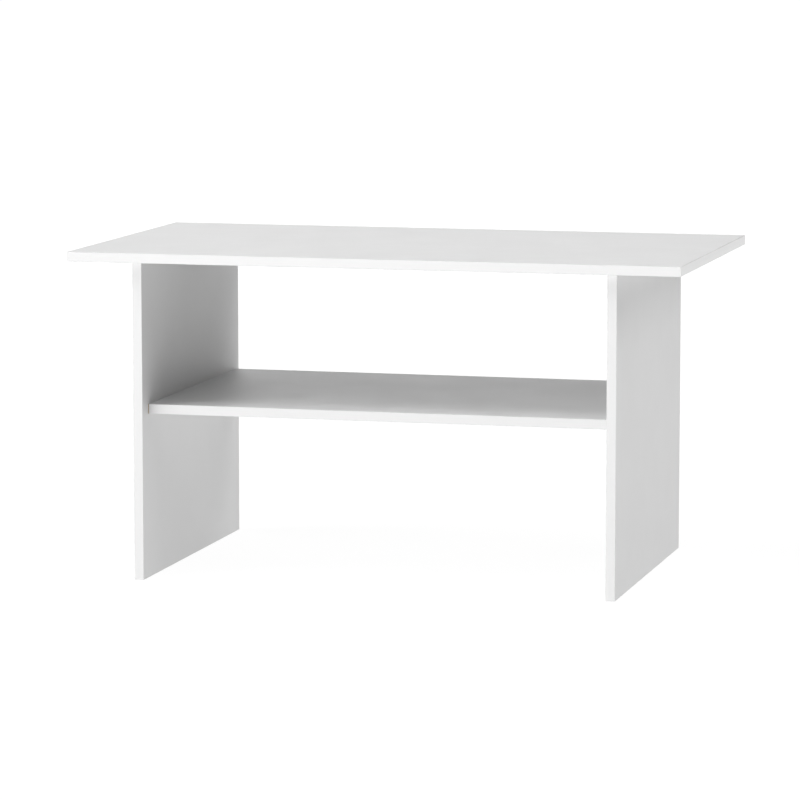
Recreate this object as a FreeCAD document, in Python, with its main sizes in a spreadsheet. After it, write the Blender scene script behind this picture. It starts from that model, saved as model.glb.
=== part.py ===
"""A panel coffee table: a top on two slab sides, with a fixed shelf between them.

Every board is melamine-faced chipboard. Each edge that shows is covered by a glued edge band,
and the boards are joined by rows of glued, fluted beech dowels. No fitting shows on any face.

The frame is the table's own: X runs along its length, the front faces -Y, Z points up, and the
origin lies on the floor under the middle of the top. Left and right are as seen from the front.
Lengths are in millimetres.
"""

import FreeCAD, Part
import math
import os

import Sketcher
from FreeCAD import Placement, Rotation, Vector

# Every driving dimension, once: alias, value and what it measures.
SIZES = [
    ("table_length", 960, "length of the top, over its edge bands"),
    ("table_depth", 550, "depth of the top, over its edge bands"),
    ("table_height", 510, "floor to the upper face of the top"),
    ("top_thickness", 15, "thickness of the top"),
    ("side_thickness", 15, "thickness of each side"),
    ("shelf_thickness", 15, "thickness of the shelf"),
    ("end_overhang", 100, "end of the top to the outer face of a side"),
    ("front_overhang", 18, "front of the top to the front edge of a side"),
    ("back_overhang", 22, "back of the top to the back edge of a side"),
    ("shelf_height", 272, "floor to the upper face of the shelf"),
    ("shelf_front_setback", 28, "front edge of a side to the front edge of the shelf"),
    ("shelf_back_setback", 12, "back edge of a side to the back edge of the shelf"),
    ("band_thickness", 1, "thickness of every edge band"),
    ("band_arris", 0.8, "radius on the outer edges of every edge band"),
    ("dowel_diameter", 8, "diameter of a dowel over its flutes"),
    ("dowel_length", 35, "length of a dowel"),
    ("dowel_chamfer", 1, "chamfer on both ends of a dowel"),
    ("flute_radius", 0.4, "radius of a glue flute, centred on the dowel's surface"),
    ("flute_count", 16, "glue flutes round a dowel"),
    ("glue_gap", 0.05, "radial gap for glue between a dowel and its bore"),
    ("end_gap", 0.5, "gap left at each end of a dowel"),
    ("face_bore_depth", 11, "depth of a dowel bore drilled into a face"),
    ("top_dowels", 4, "dowels between the top and one side"),
    ("top_dowel_margin", 55, "front or back edge of a side to its nearest dowel"),
    ("shelf_dowels", 4, "dowels between the shelf and one side"),
    ("shelf_dowel_margin", 45, "front or back edge of the shelf to its nearest dowel"),
]

# Lengths that follow from the driving ones, as expressions on the sheet.
BAND = "sizes.band_thickness"
BOTH_BANDS = f"2 * {BAND}"
SIDE_HEIGHT = "(sizes.table_height - sizes.top_thickness)"
SIDE_DEPTH = "(sizes.table_depth - sizes.front_overhang - sizes.back_overhang)"
SIDE_PITCH = "(sizes.table_length - 2 * sizes.end_overhang - sizes.side_thickness)"
SHELF_LENGTH = f"({SIDE_PITCH} - sizes.side_thickness)"
SHELF_DEPTH = f"({SIDE_DEPTH} - sizes.shelf_front_setback - sizes.shelf_back_setback)"
BORE_DIAMETER = "sizes.dowel_diameter + 2 * sizes.glue_gap"
END_BORE_DEPTH = "(sizes.dowel_length + 2 * sizes.end_gap - sizes.face_bore_depth)"
TOP_ROW_SPAN = f"{SIDE_DEPTH} - 2 * sizes.top_dowel_margin"
SHELF_ROW_SPAN = f"{SHELF_DEPTH} - 2 * sizes.shelf_dowel_margin"

# Places in the table's own frame.
TOP_LEFT = "-sizes.table_length / 2"
TOP_FRONT = "-sizes.table_depth / 2"
SIDE_FRONT = f"{TOP_FRONT} + sizes.front_overhang"
LEFT_SIDE = f"{TOP_LEFT} + sizes.end_overhang"
RIGHT_SIDE = f"{LEFT_SIDE} + {SIDE_PITCH}"
SHELF_LEFT = f"{LEFT_SIDE} + sizes.side_thickness"
SHELF_FRONT = f"{SIDE_FRONT} + sizes.shelf_front_setback"
SHELF_UNDERSIDE = "sizes.shelf_height - sizes.shelf_thickness"
SHELF_MIDDLE = "sizes.shelf_height - sizes.shelf_thickness / 2"

VOLUME_TOLERANCE = 0.01
PLANE_TOLERANCE = 1e-6

doc = FreeCAD.newDocument("coffee_table")
sub_parts = []


# ---- Helpers: the sheet, bodies, sketches and what they share ----


def make_sheet():
    """The spreadsheet that holds every driving dimension."""
    sheet = doc.addObject("Spreadsheet::Sheet", "sizes")
    for row, (alias, value, meaning) in enumerate(SIZES, start=1):
        sheet.set(f"A{row}", alias)
        sheet.set(f"B{row}", str(value))
        sheet.setAlias(f"B{row}", alias)
        sheet.set(f"C{row}", meaning)
    doc.recompute()


def new_body(label, place, turn=Rotation()):
    """An empty body for one sub-part, turned, with its own origin at `place`: three expressions."""
    body = doc.addObject("PartDesign::Body", label)
    body.Label = label
    body.Placement = Placement(Vector(), turn)
    for axis, expression in zip("xyz", place):
        body.setExpression(f"Placement.Base.{axis}", expression)
    sub_parts.append(body)
    return body


def origin_feature(body, role):
    """A plane or an axis of the body's own origin."""
    return next(f for f in body.Origin.OriginFeatures if f.Role == role)


def new_sketch(body, name, plane, offset="0"):
    """A sketch on one of the body's origin planes, moved by `offset` along the plane's normal."""
    sketch = body.newObject("Sketcher::SketchObject", f"{body.Label}_{name}_sketch")
    sketch.AttachmentSupport = [(origin_feature(body, plane), "")]
    sketch.MapMode = "FlatFace"
    sketch.setExpression("AttachmentOffset.Base.z", offset)
    return sketch


def bind_size(sketch, name, constraint, expression):
    """Adds a driving constraint to a sketch and binds its value to the sheet."""
    index = sketch.addConstraint(constraint)
    sketch.renameConstraint(index, name)
    sketch.setExpression(f"Constraints.{name}", expression)


def draw_rectangle(sketch, width, height):
    """A rectangle with one corner on the sketch's origin."""
    corners = [Vector(0, 0, 0), Vector(1, 0, 0), Vector(1, 1, 0), Vector(0, 1, 0)]
    for index, corner in enumerate(corners):
        sketch.addGeometry(Part.LineSegment(corner, corners[(index + 1) % 4]), False)
    for index in range(4):
        corner_joint = Sketcher.Constraint("Coincident", index, 2, (index + 1) % 4, 1)
        direction = "Vertical" if index % 2 else "Horizontal"
        sketch.addConstraint(corner_joint)
        sketch.addConstraint(Sketcher.Constraint(direction, index))
    sketch.addConstraint(Sketcher.Constraint("Coincident", 0, 1, -1, 1))
    bind_size(sketch, "width", Sketcher.Constraint("DistanceX", 0, 1, 0, 2, 1.0), width)
    bind_size(sketch, "height", Sketcher.Constraint("DistanceY", 1, 1, 1, 2, 1.0), height)


def draw_circle(sketch, across, up, diameter):
    """A circle whose centre is `across` and `up` from the sketch's origin."""
    sketch.addGeometry(Part.Circle(Vector(1, 1, 0), Vector(0, 0, 1), 1), False)
    bind_size(sketch, "across", Sketcher.Constraint("DistanceX", -1, 1, 0, 3, 1.0), across)
    bind_size(sketch, "up", Sketcher.Constraint("DistanceY", -1, 1, 0, 3, 1.0), up)
    bind_size(sketch, "diameter", Sketcher.Constraint("Diameter", 0, 2.0), diameter)


def pad_up(body, sketch, length):
    """A pad of the sketch along its normal."""
    pad = body.newObject("PartDesign::Pad", f"{body.Label}_pad")
    pad.Profile = sketch
    pad.setExpression("Length", length)
    doc.recompute()
    return pad


def padded_block(body, size):
    """A rectangular block from the body's origin. `size` is three expressions, along X, Y and Z."""
    along_x, along_y, along_z = size
    sketch = new_sketch(body, "outline", "XY_Plane")
    draw_rectangle(sketch, along_x, along_y)
    return pad_up(body, sketch, along_z)


def lies_on(edge, box, face):
    """True if the edge lies in that face of the box, where face is a sign and an axis such as '+X'."""
    sign, axis = face
    level = getattr(box, f"{axis}Max" if sign == "+" else f"{axis}Min")
    low = getattr(edge.BoundBox, f"{axis}Min")
    high = getattr(edge.BoundBox, f"{axis}Max")
    return max(abs(low - level), abs(high - level)) < PLANE_TOLERANCE


def check_removed(body, volume_before, expected):
    """Stops if the last cut on the body didn't take away the volume that it should."""
    removed = volume_before - body.Shape.Volume
    if abs(removed - expected) > VOLUME_TOLERANCE * expected:
        raise RuntimeError(f"{body.Label}: a cut took {removed:.1f} mm3, not {expected:.1f}")


def drill_row(body, name, plane, offset, centre, depth, forwards, span, count):
    """A row of flat-bottomed dowel bores along the body's Y axis.

    The first is drilled at `centre` of a sketch on that plane, and `forwards` drills along its normal.
    """
    volume_before = body.Shape.Volume
    sketch = new_sketch(body, name, plane, offset)
    draw_circle(sketch, *centre, BORE_DIAMETER)
    doc.recompute()
    hole = body.newObject("PartDesign::Hole", f"{body.Label}_{name}_hole")
    hole.Profile = sketch
    hole.DepthType = "Dimension"
    hole.DrillPoint = "Flat"
    hole.Reversed = forwards
    hole.setExpression("Diameter", BORE_DIAMETER)
    hole.setExpression("Depth", depth)
    row = body.newObject("PartDesign::LinearPattern", f"{body.Label}_{name}_row")
    row.Originals = [hole]
    row.Direction = (origin_feature(body, "Y_Axis"), [""])
    row.setExpression("Length", span)
    row.setExpression("Occurrences", count)
    body.Tip = row
    doc.recompute()
    bore_volume = math.pi / 4 * hole.Diameter.Value**2 * hole.Depth.Value
    check_removed(body, volume_before, row.Occurrences * bore_volume)


# ---- Sub-parts ----


def board(label, place, size):
    """One melamine-faced board, before it is drilled."""
    body = new_body(label, place)
    padded_block(body, size)
    return body


def edge_band(label, place, size, sharp_faces):
    """One edge band: a strip whose edges are all rounded but those of `sharp_faces`.

    Those are the face glued to the board and each end that butts tightly against another piece.
    """
    body = new_body(label, place)
    pad = padded_block(body, size)
    box = pad.Shape.BoundBox
    rounded = [
        f"Edge{number}"
        for number, edge in enumerate(pad.Shape.Edges, start=1)
        if not any(lies_on(edge, box, face) for face in sharp_faces)
    ]
    arris = body.newObject("PartDesign::Fillet", f"{label}_arris")
    arris.Base = (pad, rounded)
    arris.setExpression("Radius", "sizes.band_arris")
    doc.recompute()


def dowel_row(label, place, span, count, lying=False):
    """A row of fluted dowels along Y, each a solid of its own. They stand up, or lie along X."""
    turn = Rotation(Vector(0, 1, 0), 90) if lying else Rotation()
    body = new_body(label, place, turn)
    body.AllowCompound = True
    outline = new_sketch(body, "outline", "XY_Plane")
    draw_circle(outline, "0", "0", "sizes.dowel_diameter")
    rod = pad_up(body, outline, "sizes.dowel_length")
    rims = [f"Edge{number}" for number, edge in enumerate(rod.Shape.Edges, start=1) if edge.Closed]
    chamfer = body.newObject("PartDesign::Chamfer", f"{label}_chamfer")
    chamfer.Base = (rod, rims)
    chamfer.setExpression("Size", "sizes.dowel_chamfer")
    doc.recompute()
    volume_before = body.Shape.Volume

    groove = new_sketch(body, "flute", "XY_Plane")
    draw_circle(groove, "sizes.dowel_diameter / 2", "0", "2 * sizes.flute_radius")
    flute = body.newObject("PartDesign::Pocket", f"{label}_flute")
    flute.Profile = groove
    flute.Type = "ThroughAll"
    flute.Reversed = True
    doc.recompute()
    flute_volume = volume_before - body.Shape.Volume
    if flute_volume <= 0:
        raise RuntimeError(f"{label}: the flute cut nothing")
    flutes = body.newObject("PartDesign::PolarPattern", f"{label}_flutes")
    flutes.Originals = [flute]
    flutes.Axis = (origin_feature(body, "Z_Axis"), [""])
    flutes.Angle = 360
    flutes.setExpression("Occurrences", "sizes.flute_count")
    body.Tip = flutes
    doc.recompute()
    check_removed(body, volume_before, flutes.Occurrences * flute_volume)

    row = body.newObject("PartDesign::LinearPattern", f"{label}_row")
    row.TransformMode = "Whole shape"
    row.Direction = (origin_feature(body, "Y_Axis"), [""])
    row.setExpression("Length", span)
    row.setExpression("Occurrences", count)
    body.Tip = row
    doc.recompute()
    if len(body.Shape.Solids) != row.Occurrences:
        raise RuntimeError(f"{label}: {len(body.Shape.Solids)} solids, not {row.Occurrences}")


# ---- The table ----


def make_top():
    """The top: its board, drilled from below for both sides, and four edge bands."""
    core = board(
        "top_board",
        (f"{TOP_LEFT} + {BAND}", f"{TOP_FRONT} + {BAND}", SIDE_HEIGHT),
        (
            f"sizes.table_length - {BOTH_BANDS}",
            f"sizes.table_depth - {BOTH_BANDS}",
            "sizes.top_thickness",
        ),
    )
    left_row = f"sizes.end_overhang + sizes.side_thickness / 2 - {BAND}"
    first_dowel = f"sizes.front_overhang + sizes.top_dowel_margin - {BAND}"
    for name, row_place in (
        ("left", left_row),
        ("right", f"{left_row} + {SIDE_PITCH}"),
    ):
        drill_row(
            core,
            f"{name}_bores",
            "XY_Plane",
            "0",
            (row_place, first_dowel),
            "sizes.face_bore_depth",
            True,
            TOP_ROW_SPAN,
            "sizes.top_dowels",
        )
    long_size = ("sizes.table_length", BAND, "sizes.top_thickness")
    back_place = f"{TOP_FRONT} + sizes.table_depth - {BAND}"
    edge_band("top_front_edge_band", (TOP_LEFT, TOP_FRONT, SIDE_HEIGHT), long_size, ["+Y"])
    edge_band("top_back_edge_band", (TOP_LEFT, back_place, SIDE_HEIGHT), long_size, ["-Y"])
    end_size = (BAND, f"sizes.table_depth - {BOTH_BANDS}", "sizes.top_thickness")
    right_place = f"{TOP_LEFT} + sizes.table_length - {BAND}"
    for label, place, glued in (
        ("top_left_edge_band", TOP_LEFT, "+X"),
        ("top_right_edge_band", right_place, "-X"),
    ):
        corner = (place, f"{TOP_FRONT} + {BAND}", SIDE_HEIGHT)
        edge_band(label, corner, end_size, [glued, "-Y", "+Y"])


def make_side(name, left_face, inner_plane, bores_forwards):
    """One side: its board, drilled in its upper end and its inner face, and three edge bands.

    `left_face` is the X of the side's left face, and `inner_plane` how far its inner face is from there.
    """
    label = f"{name}_side"
    core = board(
        f"{label}_board",
        (left_face, f"{SIDE_FRONT} + {BAND}", BAND),
        (
            "sizes.side_thickness",
            f"{SIDE_DEPTH} - {BOTH_BANDS}",
            f"{SIDE_HEIGHT} - {BAND}",
        ),
    )
    drill_row(
        core,
        "upper_end_bores",
        "XY_Plane",
        f"{SIDE_HEIGHT} - {BAND}",
        ("sizes.side_thickness / 2", f"sizes.top_dowel_margin - {BAND}"),
        END_BORE_DEPTH,
        False,
        TOP_ROW_SPAN,
        "sizes.top_dowels",
    )
    drill_row(
        core,
        "shelf_bores",
        "YZ_Plane",
        inner_plane,
        (
            f"sizes.shelf_front_setback + sizes.shelf_dowel_margin - {BAND}",
            f"{SHELF_MIDDLE} - {BAND}",
        ),
        "sizes.face_bore_depth",
        bores_forwards,
        SHELF_ROW_SPAN,
        "sizes.shelf_dowels",
    )
    upright_size = ("sizes.side_thickness", BAND, SIDE_HEIGHT)
    back_place = f"{SIDE_FRONT} + {SIDE_DEPTH} - {BAND}"
    for edge, place, glued in (
        ("front", SIDE_FRONT, "+Y"),
        ("back", back_place, "-Y"),
    ):
        corner = (left_face, place, "0")
        edge_band(f"{label}_{edge}_edge_band", corner, upright_size, [glued, "+Z"])
    edge_band(
        f"{label}_bottom_edge_band",
        (left_face, f"{SIDE_FRONT} + {BAND}", "0"),
        ("sizes.side_thickness", f"{SIDE_DEPTH} - {BOTH_BANDS}", BAND),
        ["+Z", "-Y", "+Y"],
    )


def make_shelf():
    """The shelf: its board, drilled in both ends, and an edge band at the front and the back.

    Its bands are eased at their ends too, which leaves a fine notch where the shelf meets a side.
    """
    core = board(
        "shelf_board",
        (SHELF_LEFT, f"{SHELF_FRONT} + {BAND}", SHELF_UNDERSIDE),
        (SHELF_LENGTH, f"{SHELF_DEPTH} - {BOTH_BANDS}", "sizes.shelf_thickness"),
    )
    for name, end, forwards in (
        ("left", "0", True),
        ("right", SHELF_LENGTH, False),
    ):
        drill_row(
            core,
            f"{name}_end_bores",
            "YZ_Plane",
            end,
            (f"sizes.shelf_dowel_margin - {BAND}", "sizes.shelf_thickness / 2"),
            END_BORE_DEPTH,
            forwards,
            SHELF_ROW_SPAN,
            "sizes.shelf_dowels",
        )
    size = (SHELF_LENGTH, BAND, "sizes.shelf_thickness")
    back_place = f"{SHELF_FRONT} + {SHELF_DEPTH} - {BAND}"
    for edge, place, glued in (
        ("front", SHELF_FRONT, "+Y"),
        ("back", back_place, "-Y"),
    ):
        corner = (SHELF_LEFT, place, SHELF_UNDERSIDE)
        edge_band(f"shelf_{edge}_edge_band", corner, size, [glued])


def make_dowels():
    """Four rows of dowels: one between the top and each side, one between the shelf and each side."""
    upright_foot = f"{SIDE_HEIGHT} - {END_BORE_DEPTH} + sizes.end_gap"
    for name, side in (("left", LEFT_SIDE), ("right", RIGHT_SIDE)):
        dowel_row(
            f"{name}_top_dowels",
            (
                f"{side} + sizes.side_thickness / 2",
                f"{SIDE_FRONT} + sizes.top_dowel_margin",
                upright_foot,
            ),
            TOP_ROW_SPAN,
            "sizes.top_dowels",
        )
    left_start = f"{SHELF_LEFT} - sizes.face_bore_depth + sizes.end_gap"
    right_start = f"{RIGHT_SIDE} - {END_BORE_DEPTH} + sizes.end_gap"
    for name, start in (("left", left_start), ("right", right_start)):
        dowel_row(
            f"{name}_shelf_dowels",
            (start, f"{SHELF_FRONT} + sizes.shelf_dowel_margin", SHELF_MIDDLE),
            SHELF_ROW_SPAN,
            "sizes.shelf_dowels",
            lying=True,
        )


def check_document():
    """Stops if any object failed, or if any sub-part's shape is empty or invalid."""
    doc.recompute()
    for item in doc.Objects:
        if "Invalid" in item.State or "Error" in item.State:
            raise RuntimeError(f"{item.Label}: {item.State}")
    for item in sub_parts:
        shape = item.Shape
        if shape.isNull() or not shape.isValid() or shape.Volume <= 0:
            raise RuntimeError(f"{item.Label}: its shape is empty or invalid")


def export_parts():
    """One STEP file for each sub-part, named by its label."""
    os.makedirs("parts", exist_ok=True)
    for item in sub_parts:
        item.Shape.exportStep(f"parts/{item.Label}.step")
        print(f"{item.Label}: {len(item.Shape.Solids)} solids, {item.Shape.Volume:.0f} mm3")


make_sheet()
make_top()
make_side("left", LEFT_SIDE, "sizes.side_thickness", False)
make_side("right", RIGHT_SIDE, "0", True)
make_shelf()
make_dowels()
check_document()
export_parts()
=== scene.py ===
# %% [markdown]
# # A white panel coffee table
#
# Four boards make this table: a top, two sides and a shelf. Each is chipboard with a thin
# white melamine face on both sides. A saw leaves the brown chipboard open at every cut edge,
# so each edge that shows is covered by a strip of white plastic, the edge band. Nothing else
# shows, because the boards are held by glued wooden dowels inside them.
#
# A plain object is judged by its small things: an edge that is softly rounded and catches the
# light, the hairline where a band meets its board, and the shadow where two boards meet. This
# lesson models those, piece by piece, round the frame that the design gives.
#
# The first cell loads that frame. Every piece of it is a Blender object in metres, in place.

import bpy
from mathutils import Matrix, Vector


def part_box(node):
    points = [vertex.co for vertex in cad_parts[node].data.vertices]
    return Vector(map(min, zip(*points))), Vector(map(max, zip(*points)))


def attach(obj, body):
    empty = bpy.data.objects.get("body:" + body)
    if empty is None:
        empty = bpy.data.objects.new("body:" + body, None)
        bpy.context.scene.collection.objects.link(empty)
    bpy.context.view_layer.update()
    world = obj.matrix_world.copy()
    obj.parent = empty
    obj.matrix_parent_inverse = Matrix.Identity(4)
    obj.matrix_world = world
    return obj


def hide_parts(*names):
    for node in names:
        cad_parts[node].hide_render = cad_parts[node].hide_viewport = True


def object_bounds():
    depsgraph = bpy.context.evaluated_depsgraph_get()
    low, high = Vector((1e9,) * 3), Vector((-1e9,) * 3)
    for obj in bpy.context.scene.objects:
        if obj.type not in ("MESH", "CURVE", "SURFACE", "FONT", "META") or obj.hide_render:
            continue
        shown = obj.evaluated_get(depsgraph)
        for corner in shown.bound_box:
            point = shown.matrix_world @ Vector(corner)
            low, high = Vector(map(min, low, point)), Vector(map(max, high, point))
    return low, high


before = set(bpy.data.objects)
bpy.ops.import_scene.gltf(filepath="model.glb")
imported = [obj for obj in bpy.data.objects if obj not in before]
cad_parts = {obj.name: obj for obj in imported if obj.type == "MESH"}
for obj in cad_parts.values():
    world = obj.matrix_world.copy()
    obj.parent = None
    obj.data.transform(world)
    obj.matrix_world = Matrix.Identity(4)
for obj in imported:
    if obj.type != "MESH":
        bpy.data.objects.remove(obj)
cad_low, cad_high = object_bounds()
print("CAD box:", [round(value, 4) for value in (*cad_low, *cad_high)])

# %% [markdown]
# The frame's names say what each piece is: a board, an edge band or a row of dowels. Sorting
# them by their endings gives those three families, and each family is made in its own way
# further down. Naming each piece by hand would work too, but a family made by one rule can't
# have an odd one out. There is a single body, because nothing on the table moves.

# %% Sort the pieces into families
import math

import bmesh
import bpy
from mathutils import Vector

MM = 0.001
BODY = "root"
BOARDS = sorted(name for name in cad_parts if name.endswith("_board"))
BANDS = sorted(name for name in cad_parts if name.endswith("_edge_band"))
DOWEL_ROWS = sorted(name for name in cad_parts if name.endswith("_dowels"))

for family in (BOARDS, BANDS, DOWEL_ROWS):
    for name in family:
        low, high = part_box(name)
        print(name, [round(length / MM, 1) for length in high - low], "mm")

# %% [markdown]
# ## Colour
#
# A colour is written here as an sRGB hex value, but a shader works with linear light. One
# function turns the first into the second, so every colour below can be read as a paint chip.

# %% Turn an sRGB hex colour into linear light


def linear(hex_colour):
    """The linear RGBA of a colour such as "#E6E6E6"."""
    channels = [int(hex_colour[i : i + 2], 16) / 255 for i in (1, 3, 5)]
    light = [c / 12.92 if c <= 0.04045 else ((c + 0.055) / 1.055) ** 2.4 for c in channels]
    return (*light, 1.0)


print("mid grey #808080 is", round(linear("#808080")[0], 3), "in linear light")

# %% [markdown]
# ## Nodes
#
# A procedural material is a small network. Placing nodes by hand in code gets long, so one
# helper adds any node, gives it its settings and its input values, and links its inputs to
# other nodes' outputs. A second helper starts a material and returns its shader.

# %% Add a node, start a material


def add_node(tree, kind, settings=None, values=None, links=None):
    """A new node: its settings, plain values for its inputs, and sockets linked to its inputs."""
    node = tree.nodes.new(kind)
    for name, setting in (settings or {}).items():
        setattr(node, name, setting)
    for name, value in (values or {}).items():
        node.inputs[name].default_value = value
    for name, socket in (links or {}).items():
        tree.links.new(socket, node.inputs[name])
    return node


def start_material(name, **values):
    """A new material, its node tree and its Principled shader with those input values."""
    material = bpy.data.materials.new(name)
    material.use_nodes = True
    tree = material.node_tree
    shader = tree.nodes["Principled BSDF"]
    for socket, value in values.items():
        shader.inputs[socket.replace("_", " ")].default_value = value
    return material, tree, shader


# %% [markdown]
# ## Sizes of patterns
#
# Each pattern below has a real size: the pearl of a pressed sheet, the length of a wood chip,
# the width of a fleck. A noise texture changes about once per unit divided by its scale, and
# the unit here is a metre, so the scale is one over the real size in metres. The finest
# patterns melt into an even tone from across a room and only come out in a near view, and
# that is how the real surfaces behave.

# %% Turn a real pattern size into a texture scale


def scale_for(size_mm):
    """The Scale of a texture whose features are this large."""
    return 1 / (size_mm * MM)


print("features of 0.8 mm need a scale of", round(scale_for(0.8)))

# %% [markdown]
# ## The board's frame
#
# Chips lie flat in a board, and an extruded band has its lines along its length. Those
# patterns follow the piece and not the room. A UV map could lay a pattern along each piece,
# but it is flat, and chips need a depth too. So each new piece carries an attribute with
# three coordinates of its own: along its length, across its width, and through its
# thickness from the middle. A material that reads it fits every piece, however that lies.

# %% Give a piece its own coordinates
OWN_FRAME = "own_frame"


def axes_by_length(name):
    """The row axes of a CAD node, from its longest side to its shortest."""
    low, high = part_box(name)
    sides = high - low
    return sorted(range(3), key=lambda axis: -sides[axis])


def write_own_frame(piece, name):
    """Stores each vertex's place along, across and through the piece, in metres."""
    low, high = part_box(name)
    middle = (low + high) / 2
    order = axes_by_length(name)
    attribute = piece.data.attributes.new(OWN_FRAME, "FLOAT_VECTOR", "POINT")
    for vertex, item in zip(piece.data.vertices, attribute.data):
        offset = vertex.co - middle
        item.vector = [offset[axis] for axis in order]


def own_frame(tree):
    """The output that gives a material those coordinates."""
    reader = add_node(tree, "ShaderNodeAttribute", {"attribute_name": OWN_FRAME})
    return reader.outputs["Vector"]


# %% [markdown]
# ## White melamine face
#
# The face of the board is a white paper soaked in melamine resin and cured in a hot press
# against a steel plate. The plate's fine pearl texture is left in the resin, so the surface is
# hard and white, with a soft sheen and no gloss. To the eye it gives a smooth even white that
# only shows its texture where light grazes it.
#
# A scan of a real sheet would serve as well, but it is a file, and it repeats over a top this
# long. The pearl is a noise of 0.8 mm used as bump. Two slow noises keep the sheet from looking
# computed: one varies the roughness a little, as handling does, and one the paper's white, by
# less than the eye can name. Melamine resin has an index of refraction near 1.5.

# %% White melamine, pressed
PEARL_MM = 0.8
PEARL_DEPTH_MM = 0.006
SHEEN_PATCH_MM = 60
PAPER_MOTTLE_MM = 90
MELAMINE_ROUGHNESS = (0.44, 0.52)


def pearl_bump(tree, coordinates, size_mm, depth_mm):
    """A fine pressed texture as a bump node's normal."""
    pearl = add_node(
        tree,
        "ShaderNodeTexNoise",
        values={"Scale": scale_for(size_mm), "Detail": 2.0, "Roughness": 0.45},
        links={"Vector": coordinates},
    )
    bump = add_node(
        tree,
        "ShaderNodeBump",
        values={"Strength": 1.0, "Distance": depth_mm * MM},
        links={"Height": pearl.outputs["Fac"]},
    )
    return bump.outputs["Normal"]


def patchy_roughness(tree, coordinates, patch_mm, low, high):
    """A roughness that drifts between two values over patches of that size."""
    patches = add_node(
        tree,
        "ShaderNodeTexNoise",
        values={"Scale": scale_for(patch_mm), "Detail": 4.0, "Roughness": 0.6},
        links={"Vector": coordinates},
    )
    spread = add_node(
        tree,
        "ShaderNodeMapRange",
        values={"From Min": 0.3, "From Max": 0.7, "To Min": low, "To Max": high},
        links={"Value": patches.outputs["Fac"]},
    )
    return spread.outputs["Result"]


def make_melamine():
    """White melamine face, pressed against a pearl plate."""
    material, tree, shader = start_material("white_melamine_pressed", IOR=1.5)
    room = add_node(tree, "ShaderNodeTexCoord").outputs["Object"]
    mottle = add_node(
        tree,
        "ShaderNodeTexNoise",
        values={"Scale": scale_for(PAPER_MOTTLE_MM), "Detail": 3.0},
        links={"Vector": room},
    )
    paper = add_node(tree, "ShaderNodeValToRGB", links={"Fac": mottle.outputs["Fac"]})
    paper.color_ramp.elements[0].color = linear("#D7D7D7")
    paper.color_ramp.elements[1].color = linear("#D9D9D9")
    tree.links.new(paper.outputs["Color"], shader.inputs["Base Color"])
    roughness = patchy_roughness(tree, room, SHEEN_PATCH_MM, *MELAMINE_ROUGHNESS)
    tree.links.new(roughness, shader.inputs["Roughness"])
    tree.links.new(pearl_bump(tree, room, PEARL_MM, PEARL_DEPTH_MM), shader.inputs["Normal"])
    return material


melamine = make_melamine()
print("made", melamine.name)

# %% [markdown]
# ## White edge band
#
# The band is ABS plastic, extruded as a long strip, embossed to match the board, and glued on
# by a machine that then rounds its long edges with a cutter and a scraper. To the eye it is
# the board's white but a touch smoother, with fine lines along its length and a clear bright
# line on its rounded edges.
#
# The lines are the same kind of noise as the board's pearl, stretched along the band with a
# Mapping node. ABS has an index of refraction near 1.53.

# %% White ABS, extruded and scraped
BAND_LINE_MM = 0.25
BAND_LINE_LENGTH_MM = 40
BAND_LINE_DEPTH_MM = 0.002
BAND_ROUGHNESS = (0.30, 0.36)


def make_band_plastic():
    """White ABS edge band, extruded and then scraped along its length."""
    material, tree, shader = start_material("white_abs_extruded", IOR=1.53)
    shader.inputs["Base Color"].default_value = linear("#DDDDDD")
    own = own_frame(tree)
    drawn_out = add_node(
        tree,
        "ShaderNodeMapping",
        values={"Scale": (BAND_LINE_MM / BAND_LINE_LENGTH_MM, 1.0, 1.0)},
        links={"Vector": own},
    )
    lines = pearl_bump(tree, drawn_out.outputs["Vector"], BAND_LINE_MM, BAND_LINE_DEPTH_MM)
    roughness = patchy_roughness(tree, own, SHEEN_PATCH_MM, *BAND_ROUGHNESS)
    tree.links.new(roughness, shader.inputs["Roughness"])
    tree.links.new(lines, shader.inputs["Normal"])
    return material


band_plastic = make_band_plastic()
print("made", band_plastic.name)

# %% [markdown]
# ## Glue line
#
# Between band and board a film of hot-melt glue, a twentieth of a millimetre thick, ends in
# a fine line. It is a milky, slightly yellow plastic, so on a white table the eye sees a
# thread a little darker than both sides of it.
#
# A painted line would have to be placed on every face. Here the glue is a stretch of the
# band's own mesh, further down, and this material only gives it its cloudy tone.

# %% Hot-melt glue, squeezed thin
GLUE_CLOUD_MM = 3


def make_glue():
    """EVA hot-melt glue, squeezed out and scraped flush."""
    material, tree, shader = start_material("hot_melt_glue_squeezed", IOR=1.48, Roughness=0.55)
    own = own_frame(tree)
    milky = add_node(
        tree,
        "ShaderNodeTexNoise",
        values={"Scale": scale_for(GLUE_CLOUD_MM), "Detail": 2.0},
        links={"Vector": own},
    )
    tint = add_node(tree, "ShaderNodeValToRGB", links={"Fac": milky.outputs["Fac"]})
    tint.color_ramp.elements[0].color = linear("#D3D1CB")
    tint.color_ramp.elements[1].color = linear("#DAD8D3")
    tree.links.new(tint.outputs["Color"], shader.inputs["Base Color"])
    return material


glue = make_glue()
print("made", glue.name)

# %% [markdown]
# ## Chipboard core
#
# A saw cut or a bore shows the core: flat wood chips, pressed with resin. They are fine and
# dense next to the faces and coarse and looser in the middle. The cut is dull, speckled from
# pale straw to brown, with small dark voids between the coarse chips. On this table the eye
# finds it only inside the joints and in the notches at the ends of the shelf.
#
# Cells stretched along the board make the chips: long and wide in its plane, thin through
# it. Noise would give soft clouds, and a chip has a border, so Voronoi cells suit it better.
# The third coordinate of the board's own frame tells the fine layers from the coarse one. A
# Mix node has sockets for numbers and for colours under the same names, so its colour sockets
# are reached by their place in the row.

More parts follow.
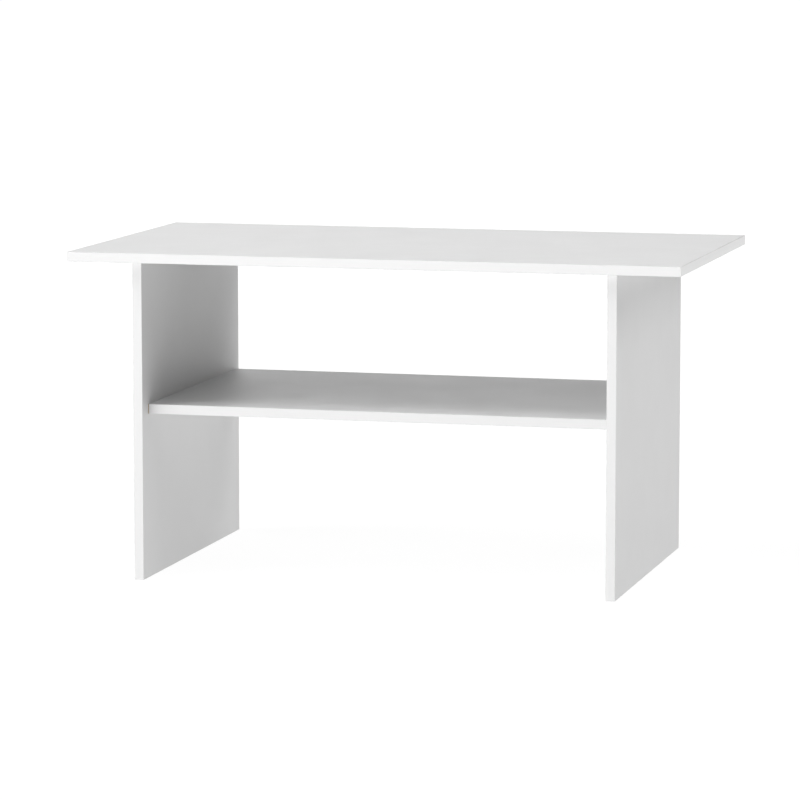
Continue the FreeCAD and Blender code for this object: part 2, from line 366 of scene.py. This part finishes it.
# %% Chipboard, sawn
COARSE_CHIP_MM = 1.2
FINE_CHIP_MM = 0.4
CHIP_SLENDERNESS = 5
FINE_LAYER_MM = 2.5
LAYER_BLEND_MM = 0.5
CHIP_RELIEF_MM = 0.2
MIX_COLOUR_A = 6
MIX_COLOUR_B = 7
MIX_COLOUR_RESULT = 2


def chip_cells(tree, flattened, size_mm):
    """Cells the size of one layer's chips. Each has its own random grey."""
    return add_node(
        tree,
        "ShaderNodeTexVoronoi",
        values={"Scale": scale_for(size_mm), "Randomness": 1.0},
        links={"Vector": flattened},
    )


def board_thickness():
    """The thickness that all the boards share, in metres."""
    low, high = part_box(BOARDS[0])
    return min(high - low)


def make_chipboard():
    """Chipboard, sawn or bored."""
    material, tree, shader = start_material("chipboard_sawn", IOR=1.5, Roughness=0.85)
    own = own_frame(tree)
    flattened = add_node(
        tree,
        "ShaderNodeMapping",
        values={"Scale": (1 / CHIP_SLENDERNESS, 1 / CHIP_SLENDERNESS, 1.0)},
        links={"Vector": own},
    ).outputs["Vector"]
    coarse = chip_cells(tree, flattened, COARSE_CHIP_MM)
    fine = chip_cells(tree, flattened, FINE_CHIP_MM)
    through = add_node(tree, "ShaderNodeSeparateXYZ", links={"Vector": own}).outputs["Z"]
    depth = add_node(
        tree, "ShaderNodeMath", {"operation": "ABSOLUTE"}, links={0: through}
    ).outputs["Value"]
    half_core = board_thickness() / 2 - FINE_LAYER_MM * MM
    blend = LAYER_BLEND_MM * MM
    layer = add_node(
        tree,
        "ShaderNodeMapRange",
        values={"From Min": half_core - blend, "From Max": half_core + blend},
        links={"Value": depth},
    ).outputs["Result"]
    chips = add_node(
        tree,
        "ShaderNodeMix",
        {"data_type": "RGBA"},
        links={
            "Factor": layer,
            MIX_COLOUR_A: coarse.outputs["Color"],
            MIX_COLOUR_B: fine.outputs["Color"],
        },
    ).outputs[MIX_COLOUR_RESULT]
    wood = add_node(tree, "ShaderNodeValToRGB", links={"Fac": chips})
    wood.color_ramp.elements[0].color = linear("#8A6638")
    wood.color_ramp.elements[1].color = linear("#E2CB9C")
    tree.links.new(wood.outputs["Color"], shader.inputs["Base Color"])
    bump = add_node(
        tree,
        "ShaderNodeBump",
        values={"Strength": 0.8, "Distance": CHIP_RELIEF_MM * MM},
        links={"Height": coarse.outputs["Distance"]},
    )
    tree.links.new(bump.outputs["Normal"], shader.inputs["Normal"])
    return material


chipboard = make_chipboard()
print("made", chipboard.name)

# %% [markdown]
# ## Beech
#
# Dowels are turned from beech: a pale pinkish brown wood with straight grain and short dark
# flecks a millimetre or two long. To the eye it is a fine dull streak along the dowel.
#
# The frame's dowels already have their flutes and chamfers, and nobody sees them once the
# table is together, so they stay as they are and only get this material. The grain runs along
# each dowel. One that stands and one that lies need the pattern turned, which a Mapping node
# does.

# %% Beech, turned and fluted
FLECK_LENGTH_MM = 2.0
FLECK_WIDTH_MM = 0.25
FLECK_DEPTH_MM = 0.05


def make_beech(name, turn):
    """Beech whose grain runs along Z once `turn` has been applied to the room's coordinates."""
    material, tree, shader = start_material(name, IOR=1.5, Roughness=0.62)
    room = add_node(tree, "ShaderNodeTexCoord").outputs["Object"]
    upright = add_node(
        tree, "ShaderNodeMapping", values={"Rotation": turn}, links={"Vector": room}
    ).outputs["Vector"]
    drawn_out = add_node(
        tree,
        "ShaderNodeMapping",
        values={"Scale": (1.0, 1.0, FLECK_WIDTH_MM / FLECK_LENGTH_MM)},
        links={"Vector": upright},
    ).outputs["Vector"]
    flecks = add_node(
        tree,
        "ShaderNodeTexNoise",
        values={"Scale": scale_for(FLECK_WIDTH_MM), "Detail": 2.0},
        links={"Vector": drawn_out},
    )
    wood = add_node(tree, "ShaderNodeValToRGB", links={"Fac": flecks.outputs["Fac"]})
    wood.color_ramp.elements[0].position = 0.3
    wood.color_ramp.elements[0].color = linear("#A97850")
    wood.color_ramp.elements[1].position = 0.55
    wood.color_ramp.elements[1].color = linear("#D9B48A")
    tree.links.new(wood.outputs["Color"], shader.inputs["Base Color"])
    bump = add_node(
        tree,
        "ShaderNodeBump",
        values={"Strength": 0.6, "Distance": FLECK_DEPTH_MM * MM},
        links={"Height": flecks.outputs["Fac"]},
    )
    tree.links.new(bump.outputs["Normal"], shader.inputs["Normal"])
    return material


QUARTER_TURN = math.pi / 2
beech_upright = make_beech("beech_turned_upright", (0, 0, 0))
beech_lying = make_beech("beech_turned_lying", (0, QUARTER_TURN, 0))
for name in DOWEL_ROWS:
    grain = beech_upright if "_top_" in name else beech_lying
    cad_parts[name].data.materials.clear()
    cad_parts[name].data.materials.append(grain)
    print(name, "is", grain.name)

# %% [markdown]
# ## Helpers for modelling
#
# An operator acts on all that is selected, so every step starts by deselecting everything.
# Then code selects edges by where they lie, in the way that a click would. Two places nearer
# than a hundredth of a millimetre count as the same place.

# %% Start a block, select by place
CLOSE = 0.01 * MM
SMOOTH_UP_TO = math.radians(30)


def deselect_all():
    """Leaves no object selected."""
    bpy.ops.object.select_all(action="DESELECT")


def add_block(name, low, high):
    """A cube primitive made to fill the box from low to high, with its place in its mesh."""
    deselect_all()
    bpy.ops.mesh.primitive_cube_add(size=1, location=(low + high) / 2)
    block = bpy.context.object
    block.name = name
    block.scale = high - low
    bpy.ops.object.transform_apply(location=True, rotation=True, scale=True)
    return block


def select_edges(piece, wanted):
    """In edit mode, selects only the edges for which wanted(edge) is true. Returns how many."""
    bpy.context.tool_settings.mesh_select_mode = (False, True, False)
    bpy.ops.mesh.select_all(action="DESELECT")
    mesh = bmesh.from_edit_mesh(piece.data)
    chosen = [edge for edge in mesh.edges if wanted(edge)]
    for edge in chosen:
        edge.select_set(True)
    bmesh.update_edit_mesh(piece.data)
    return len(chosen)


def lies_in(edge, plane):
    """True if both ends of the edge lie in the plane: an axis number and a coordinate."""
    axis, level = plane
    return all(abs(vertex.co[axis] - level) < CLOSE for vertex in edge.verts)


def set_normals(piece):
    """Smooths curved stretches and keeps flat faces flat."""
    deselect_all()
    piece.select_set(True)
    bpy.context.view_layer.objects.active = piece
    bpy.ops.object.shade_smooth_by_angle(angle=SMOOTH_UP_TO)
    bpy.ops.object.modifier_add(type="WEIGHTED_NORMAL")
    piece.modifiers[-1].keep_sharp = True
    bpy.ops.object.modifier_apply(modifier=piece.modifiers[-1].name)


# %% [markdown]
# ## The boards
#
# On the real table each board is sawn to size, its edges are jointed, and its bores are
# drilled by a machine with a row of bits. A face that is jointed keeps a tiny chamfer, here
# 0.05 mm, and that is what draws the hairline between a board and its band, and the dark
# thread where two boards butt. The frame's own boards could be painted and kept, but their
# edges have no width at all, and such an edge catches no light.
#
# The same steps work here: a block of the board's size, a small bevel on all its edges, and
# cylinders for drill bits that a Boolean modifier takes away. Where the bores go comes from
# the dowels in the frame, so a board and its dowels can't disagree.

# %% Bevel a board's edges
BOARD_CHAMFER = 0.05 * MM


def cut_board(name):
    """A board's block with a fine chamfer along every edge."""
    low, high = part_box(name)
    board = add_block(f"{name}_melamine_faced", low, high)
    bpy.ops.object.mode_set(mode="EDIT")
    chamfered = select_edges(board, lambda edge: True)
    bpy.ops.mesh.bevel(offset=BOARD_CHAMFER, segments=1, affect="EDGES")
    bpy.ops.object.mode_set(mode="OBJECT")
    print(board.name, "has", chamfered, "chamfered edges")
    return board


boards = {name: cut_board(name) for name in BOARDS}

# %% [markdown]
# ### Drill bits
#
# A dowel row in the frame is one node with four dowels. Its box gives the first and the last
# one, and they are evenly spaced. A bit is a cylinder wider than its dowel by 0.05 mm all
# round and longer by 0.5 mm at each end, as in the design, which leaves room for glue. Each
# bit here reaches into both boards of its joint, and each board loses only what lies inside
# it. So one row of bits drills a joint from both sides, and its two halves are sure to line up.

# %% Make one bit for each dowel
DOWELS_IN_A_ROW = 4
GLUE_GAP = 0.05 * MM
END_GAP = 0.5 * MM
BIT_SIDES = 64


def dowel_places(name):
    """For each dowel of a row: its middle, its length, its diameter and whether it lies along X."""
    low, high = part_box(name)
    along_x = high.x - low.x > high.z - low.z
    length = high.x - low.x if along_x else high.z - low.z
    diameter = high.z - low.z if along_x else high.x - low.x
    middle = (low + high) / 2
    first = low.y + diameter / 2
    last = high.y - diameter / 2
    step = (last - first) / (DOWELS_IN_A_ROW - 1)
    places = [Vector((middle.x, first + i * step, middle.z)) for i in range(DOWELS_IN_A_ROW)]
    return places, length, diameter, along_x


def add_bits(name):
    """One mesh with a bit at each place of a dowel row."""
    places, length, diameter, along_x = dowel_places(name)
    turn = (0, QUARTER_TURN, 0) if along_x else (0, 0, 0)
    bits = []
    for place in places:
        deselect_all()
        bpy.ops.mesh.primitive_cylinder_add(
            vertices=BIT_SIDES,
            radius=diameter / 2 + GLUE_GAP,
            depth=length + 2 * END_GAP,
            location=place,
            rotation=turn,
        )
        bits.append(bpy.context.object)
    for bit in bits:
        bit.select_set(True)
    bpy.ops.object.join()
    row = bpy.context.object
    bpy.ops.object.transform_apply(location=True, rotation=True, scale=True)
    row.name = f"{name}_bits"
    return row


bit_rows = {name: add_bits(name) for name in DOWEL_ROWS}
print("made", len(bit_rows), "rows of bits")

# %% [markdown]
# ### Drilling
#
# The Boolean modifier subtracts a row of bits from each board that the row reaches. Cutting
# round mouths into a face by hand means a circle, a bridge and many thin faces for each. The
# exact solver does it cleanly in one step. The bits are then deleted.

# %% Drill the boards


def boxes_meet(first, second):
    """True if the boxes of two objects' meshes overlap."""
    a = [[corner[axis] for corner in first.bound_box] for axis in range(3)]
    b = [[corner[axis] for corner in second.bound_box] for axis in range(3)]
    return all(max(p) > min(q) and max(q) > min(p) for p, q in zip(a, b))


def drill(board, bits):
    """Takes a row of bits away from a board."""
    deselect_all()
    board.select_set(True)
    bpy.context.view_layer.objects.active = board
    bpy.ops.object.modifier_add(type="BOOLEAN")
    cut = board.modifiers[-1]
    cut.operation = "DIFFERENCE"
    cut.solver = "EXACT"
    cut.object = bits
    bpy.ops.object.modifier_apply(modifier=cut.name)


for board in boards.values():
    reached = [bits for bits in bit_rows.values() if boxes_meet(board, bits)]
    for bits in reached:
        drill(board, bits)
    print(board.name, "was drilled with", len(reached), "rows of bits")
for bits in bit_rows.values():
    bpy.data.objects.remove(bits)

# %% [markdown]
# ### White faces, brown core
#
# Only a board's two large faces are melamine. Everything that a tool has cut, the edges and
# the bores, is open chipboard. A face belongs to the melamine if its middle lies in one of the
# two outermost planes of the board's thickness. Picking faces by hand would have to be done
# again after every change of size, and this rule holds for any.

# %% Give each face of a board its material


def finish_board(name, board):
    """Melamine on the two large faces, chipboard wherever it was cut."""
    low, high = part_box(name)
    thickness = axes_by_length(name)[2]
    board.data.materials.clear()
    board.data.materials.append(melamine)
    board.data.materials.append(chipboard)
    white = 0
    for polygon in board.data.polygons:
        level = polygon.center[thickness]
        outermost = min(abs(level - low[thickness]), abs(level - high[thickness])) < CLOSE
        polygon.material_index = 0 if outermost else 1
        white += polygon.area if outermost else 0
    set_normals(board)
    write_own_frame(board, name)
    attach(board, BODY)
    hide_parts(name)
    print(board.name, len(board.data.polygons), "faces, white on", round(white, 3), "square metres")


for name, board in boards.items():
    finish_board(name, board)

# %% [markdown]
# ## The edge bands
#
# A band is a strip one millimetre thick. Its inner face is glued to the board and stays
# sharp. Where it ends against another piece it is cut square. All its other edges are
# rounded to 0.8 mm, the arris that fingers feel and that catches the light.
#
# Which ends are cut square follows from how the table is put together, so it is written down
# once: the side that such an end faces, as a sign and an axis. The shelf's bands stop a
# little short of the table's sides, so that they can't crush against them when the joint is
# pressed together, and that leaves a fine dark notch at each end of the shelf.

# %% Say which ends are cut square
ARRIS = 0.8 * MM
ARRIS_SEGMENTS = 8
AXES = "XYZ"
SHELF_BAND_SETBACK = 1.0 * MM
SQUARE_ENDS = {
    "top_left_edge_band": ("-Y", "+Y"),
    "top_right_edge_band": ("-Y", "+Y"),
    "left_side_front_edge_band": ("+Z",),
    "left_side_back_edge_band": ("+Z",),
    "left_side_bottom_edge_band": ("-Y", "+Y"),
    "right_side_front_edge_band": ("+Z",),
    "right_side_back_edge_band": ("+Z",),
    "right_side_bottom_edge_band": ("-Y", "+Y"),
}


def glued_plane(name):
    """The band's face against its board, as an axis number and a coordinate."""
    low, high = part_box(name)
    board = next(b for b in BOARDS if name.startswith(b.removesuffix("_board")))
    board_low, board_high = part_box(board)
    axis = axes_by_length(name)[2]
    board_middle = (board_low[axis] + board_high[axis]) / 2
    level = high[axis] if high[axis] < board_middle else low[axis]
    return axis, level


def square_planes(name):
    """Every plane in which the band's edges stay sharp."""
    low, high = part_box(name)
    planes = [glued_plane(name)]
    for sign, axis_name in SQUARE_ENDS.get(name, ()):
        axis = AXES.index(axis_name)
        planes.append((axis, high[axis] if sign == "+" else low[axis]))
    return planes


def band_box(name):
    """The box that a band fills: its node's, and on the shelf a little less at both ends."""
    low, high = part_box(name)
    if name.startswith("shelf"):
        low.x += SHELF_BAND_SETBACK
        high.x -= SHELF_BAND_SETBACK
    return low, high


for name in BANDS:
    print(name, "has", len(square_planes(name)), "sharp faces")

# %% [markdown]
# ### Shaping a band
#
# The block is bevelled along its free edges, with eight steps to each quarter round, which is
# smooth even from very near. A Bevel modifier could do it too, but it would need a weight on
# each edge, and here the rule that picks the edges stands next to the bevel. Then one cut,
# parallel to the glued face, parts off the last twentieth of a millimetre, and that thin
# stretch becomes the glue line.

# %% Round a band and mark its glue line
GLUE_LINE = 0.05 * MM


def shape_band(name):
    """A rounded band with a thin stretch of glue on its inner side."""
    low, high = band_box(name)
    band = add_block(f"{name}_abs", low, high)
    sharp = square_planes(name)
    axis, level = sharp[0]
    inwards = 1 if level > (low[axis] + high[axis]) / 2 else -1
    bpy.ops.object.mode_set(mode="EDIT")
    rounded = select_edges(band, lambda edge: not any(lies_in(edge, plane) for plane in sharp))
    bpy.ops.mesh.bevel(
        offset=ARRIS, segments=ARRIS_SEGMENTS, profile=0.5, affect="EDGES", clamp_overlap=False
    )
    cut_place = (low + high) / 2
    cut_place[axis] = level - inwards * GLUE_LINE
    cut_normal = Vector((0, 0, 0))
    cut_normal[axis] = 1
    bpy.ops.mesh.select_all(action="SELECT")
    bpy.ops.mesh.bisect(plane_co=cut_place, plane_no=cut_normal)
    bpy.ops.object.mode_set(mode="OBJECT")
    band.data.materials.append(band_plastic)
    band.data.materials.append(glue)
    for polygon in band.data.polygons:
        in_glue = abs(polygon.center[axis] - level) < GLUE_LINE
        polygon.material_index = 1 if in_glue else 0
    set_normals(band)
    write_own_frame(band, name)
    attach(band, BODY)
    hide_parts(name)
    print(band.name, rounded, "rounded edges,", len(band.data.polygons), "faces")


for name in BANDS:
    shape_band(name)

# %% [markdown]
# ## The floor
#
# A white object needs a pale floor: it throws light up on the undersides and into the sides.
# This one is matt white vinyl stretched over a light table. Most of its white is its own
# glow, and it returns little of the soft boxes' light, so only the faintest shadow lies under
# the table. Its specular level is zero, so no box is mirrored in it. Paper lit from above
# would be as white, but with a clear shadow. The glow rises a little away from the middle,
# where the soft boxes no longer reach, so that the floor looks equally white all over.

# %% Lay the floor
FLOOR_SIZE = 80.0
NEAR_GLOW, FAR_GLOW = 0.94, 1.03
GLOW_RISES_FROM, GLOW_RISES_TO = 1.0, 4.0
VINYL_GRAIN_MM = 400


def make_vinyl():
    """Matt white vinyl with a faint grain, lit from behind."""
    material, tree, shader = start_material("white_vinyl_matt", Roughness=0.9)
    room = add_node(tree, "ShaderNodeTexCoord").outputs["Object"]
    grain = add_node(
        tree,
        "ShaderNodeTexNoise",
        values={"Scale": scale_for(VINYL_GRAIN_MM), "Detail": 3.0},
        links={"Vector": room},
    )
    tone = add_node(tree, "ShaderNodeValToRGB", links={"Fac": grain.outputs["Fac"]})
    tone.color_ramp.elements[0].color = linear("#585858")
    tone.color_ramp.elements[1].color = linear("#5B5B5B")
    tree.links.new(tone.outputs["Color"], shader.inputs["Base Color"])
    distance = add_node(tree, "ShaderNodeVectorMath", {"operation": "LENGTH"}, links={0: room})
    glow = add_node(
        tree,
        "ShaderNodeMapRange",
        {"interpolation_type": "SMOOTHSTEP"},
        values={
            "From Min": GLOW_RISES_FROM,
            "From Max": GLOW_RISES_TO,
            "To Min": NEAR_GLOW,
            "To Max": FAR_GLOW,
        },
        links={"Value": distance.outputs["Value"]},
    )
    tree.links.new(glow.outputs["Result"], shader.inputs["Emission Strength"])
    shader.inputs["Emission Color"].default_value = (1, 1, 1, 1)
    shader.inputs["Specular IOR Level"].default_value = 0.0
    return material


deselect_all()
bpy.ops.mesh.primitive_plane_add(size=FLOOR_SIZE, location=(0, 0, cad_low[2]))
floor = bpy.context.object
floor.name = "floor"
bpy.ops.object.transform_apply(location=True, rotation=True, scale=True)
floor.data.materials.append(make_vinyl())
print("floor of", FLOOR_SIZE, "m")

# %% [markdown]
# ## Light
#
# White on white is drawn by light alone. If every side got the same light, the edges would
# vanish. So each direction gets its own soft box, and each side of the table its own grey:
# the front is the brightest, then the top, then the ends, and the inside of the bays is the
# darkest. Two low, wide boxes light the front. Three hang on the left, and the highest of
# them, nearly overhead, draws the bright line along the top's front arris. Two stand on the
# right, and one behind keeps the back and the far edge of the top pale.
#
# A picture of a sky could light the table as well, but each of its faces would then change
# with every other. A box can be moved or dimmed alone. A table of numbers holds them: where
# each one stands, its size, and how bright its face is. Brightness times area times pi is the
# power in watts.

# %% Set up the soft boxes


def direction(azimuth, elevation):
    """The unit vector to an elevation and an azimuth, which runs from the front to the right."""
    flat = math.cos(elevation)
    return Vector((math.sin(azimuth) * flat, -math.cos(azimuth) * flat, math.sin(elevation)))


# name: azimuth and elevation in degrees, distance, width and height in metres, brightness
SOFT_BOXES = {
    "front_left": (-29, 5, 12.0, 6.2, 2.0, 6.3),
    "front": (-8, 5, 12.0, 6.2, 2.0, 8.4),
    "left": (-62, 36, 8.0, 4.0, 3.0, 2.0),
    "left_high": (-58, 50, 8.0, 4.0, 4.0, 5.3),
    "overhead": (-62, 74, 8.0, 3.0, 2.0, 5.0),
    "right_high": (56, 60, 8.0, 4.0, 4.0, 3.1),
    "right_rear": (103, 38, 8.0, 5.0, 3.5, 3.6),
    "rear": (-160, 19, 8.0, 5.0, 2.2, 2.4),
}
middle = (Vector(cad_low) + Vector(cad_high)) / 2


def add_soft_box(name, azimuth, elevation, distance, width, height, brightness):
    """A rectangular area light that faces the table's middle."""
    outwards = direction(math.radians(azimuth), math.radians(elevation))
    deselect_all()
    bpy.ops.object.light_add(type="AREA", location=middle + outwards * distance)
    soft_box = bpy.context.object
    soft_box.name = name
    soft_box.rotation_euler = outwards.to_track_quat("Z", "Y").to_euler()
    soft_box.data.shape = "RECTANGLE"
    soft_box.data.size = width
    soft_box.data.size_y = height
    soft_box.data.energy = brightness * math.pi * width * height
    print(name, round(soft_box.data.energy), "W at", [round(v, 2) for v in soft_box.location])


for name, numbers in SOFT_BOXES.items():
    add_soft_box(name, *numbers)

# %% [markdown]
# ## The studio's wall
#
# The world stands for the wall round the floor. It is a light grey near the horizon, so there
# is no dark edge where the floor ends, and fades to black above, so the light keeps its
# direction. A white world would be simpler, and would fill every shadow on a white table.

# %% Paint the wall
WALL_BRIGHTNESS = 0.4
WALL_FADES_FROM, WALL_FADES_TO = 0.07, 0.14

world = bpy.data.worlds.new("studio_wall")
bpy.context.scene.world = world
world.use_nodes = True
looking_at = add_node(world.node_tree, "ShaderNodeTexCoord").outputs["Generated"]
height = add_node(world.node_tree, "ShaderNodeSeparateXYZ", links={"Vector": looking_at})
wall = add_node(
    world.node_tree,
    "ShaderNodeMapRange",
    {"interpolation_type": "SMOOTHSTEP"},
    values={
        "From Min": WALL_FADES_FROM,
        "From Max": WALL_FADES_TO,
        "To Min": WALL_BRIGHTNESS,
        "To Max": 0.0,
    },
    links={"Value": height.outputs["Z"]},
)
background = world.node_tree.nodes["Background"]
background.inputs["Color"].default_value = (1, 1, 1, 1)
world.node_tree.links.new(wall.outputs["Result"], background.inputs["Strength"])
print("wall brightness", WALL_BRIGHTNESS)

# %% [markdown]
# ## Camera
#
# A long lens from six and a half metres away shows furniture with calm, nearly parallel
# lines. A wide lens from near by would splay the sides and make the top look larger. The
# camera stands to the right of the front and a little above the top, and it aims close to
# the table's middle.

# %% Set up the camera
LENS = 184.8
SENSOR = 36.0
VIEW_AZIMUTH = math.radians(14.677)
VIEW_ELEVATION = math.radians(7.381)
VIEW_DISTANCE = 6.4944
AIM = middle + Vector((-0.0217, 0.0, 0.0058))

bpy.ops.object.camera_add(
    location=AIM + direction(VIEW_AZIMUTH, VIEW_ELEVATION) * VIEW_DISTANCE,
    rotation=(math.pi / 2 - VIEW_ELEVATION, 0, VIEW_AZIMUTH),
)
camera = bpy.context.object
camera.data.lens = LENS
camera.data.sensor_width = SENSOR
bpy.context.scene.camera = camera
bpy.context.scene.view_settings.view_transform = "Standard"
print("camera at", [round(value, 4) for value in camera.location])
